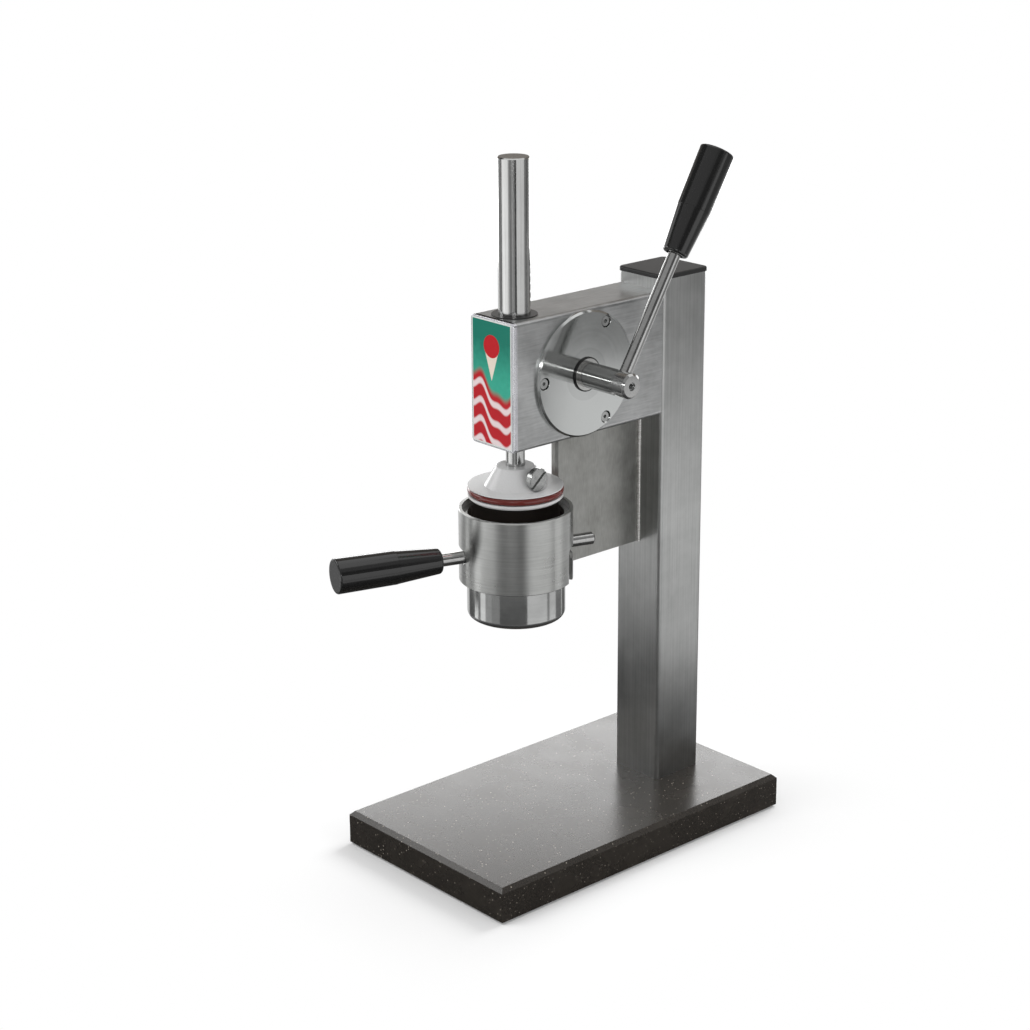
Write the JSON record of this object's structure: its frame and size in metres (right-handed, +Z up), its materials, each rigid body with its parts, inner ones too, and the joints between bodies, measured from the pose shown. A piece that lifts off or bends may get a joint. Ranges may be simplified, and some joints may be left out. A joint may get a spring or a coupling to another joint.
{
  "type": "noodle ice cream press",
  "caption": "Bench press with a stone base, a column and a head whose lever drives a rack ram down into a cup with a holed die, held in a sleeve by a bayonet turn.",
  "frame": {"origin": "on the counter, under the middle of the stone slab", "axes": "+X is the lever side, -Y faces the operator, +Z is up"},
  "size_m": [0.19, 0.3656, 0.5741],
  "materials": {
    "granite": "polished dark granite with fine pale specks",
    "black_rubber": "matt",
    "brushed_steel": "stainless steel, brushed",
    "turned_steel": "stainless steel, turned",
    "polished_steel": "stainless steel, polished",
    "black_plastic": "moulded, matt",
    "dark_steel": "hardened steel",
    "printed_film": "printed film, glossy",
    "white_acetal": "turned acetal, satin",
    "brown_rubber": "smooth",
    "black_grip": "moulded phenolic, glossy"
  },
  "bodies": {
    "frame": {"base_slab": "granite", "anti_slip_mat": "black_rubber", "column": "brushed_steel", "column_cap": "black_plastic", "column_foot": "brushed_steel", "base_bolts": "dark_steel", "base_washers": "dark_steel", "head_housing": "brushed_steel", "head_front_cover": "brushed_steel", "front_label": "printed_film", "bearing_flange": "turned_steel", "flange_screws": "dark_steel", "shaft_bush_right": "black_plastic", "left_bearing_boss": "brushed_steel", "shaft_bush_left": "black_plastic", "ram_bush_top": "black_plastic", "ram_bush_bottom": "black_plastic", "bracket_plate": "brushed_steel", "bracket_welds": "brushed_steel", "cup_sleeve": "brushed_steel"},
    "ram": {"ram_rack_bar": "polished_steel", "piston": "white_acetal", "piston_o_ring": "brown_rubber", "piston_clamp_screw": "turned_steel"},
    "crank": {"crank_shaft": "turned_steel", "pinion": "dark_steel", "pinion_key": "dark_steel", "pinion_circlips": "dark_steel", "lever_rod": "polished_steel", "lever_grip": "black_grip", "lever_grub_screw": "dark_steel"},
    "cup": {"cup_ring": "brushed_steel", "cup_tube": "polished_steel", "die_plate": "polished_steel", "cup_handle_bar": "polished_steel", "cup_handle_grip": "black_grip", "cup_rear_pin": "polished_steel"}
  },
  "joints": [
    {"name": "crank_turn", "type": "hinge", "parent": "frame", "child": "crank", "pos_m": [0.0085, -0.0137, 0.402], "axis": [1, 0, 0], "range_deg": [-20.5, 128]},
    {"name": "ram_slide", "type": "slide", "parent": "frame", "child": "ram", "axis": [0, 0, -1], "range_m": [-0.0146, 0.0898]},
    {"name": "cup_turn", "type": "hinge", "parent": "frame", "child": "cup", "pos_m": [0.0085, -0.0625, 0.2629], "axis": [0, 0, 1], "range_deg": [-40, 0]}
  ],
  "couplings": [
    {"joint": "ram_slide", "follows": "crank_turn", "m_per_rad": 0.04}
  ]
}
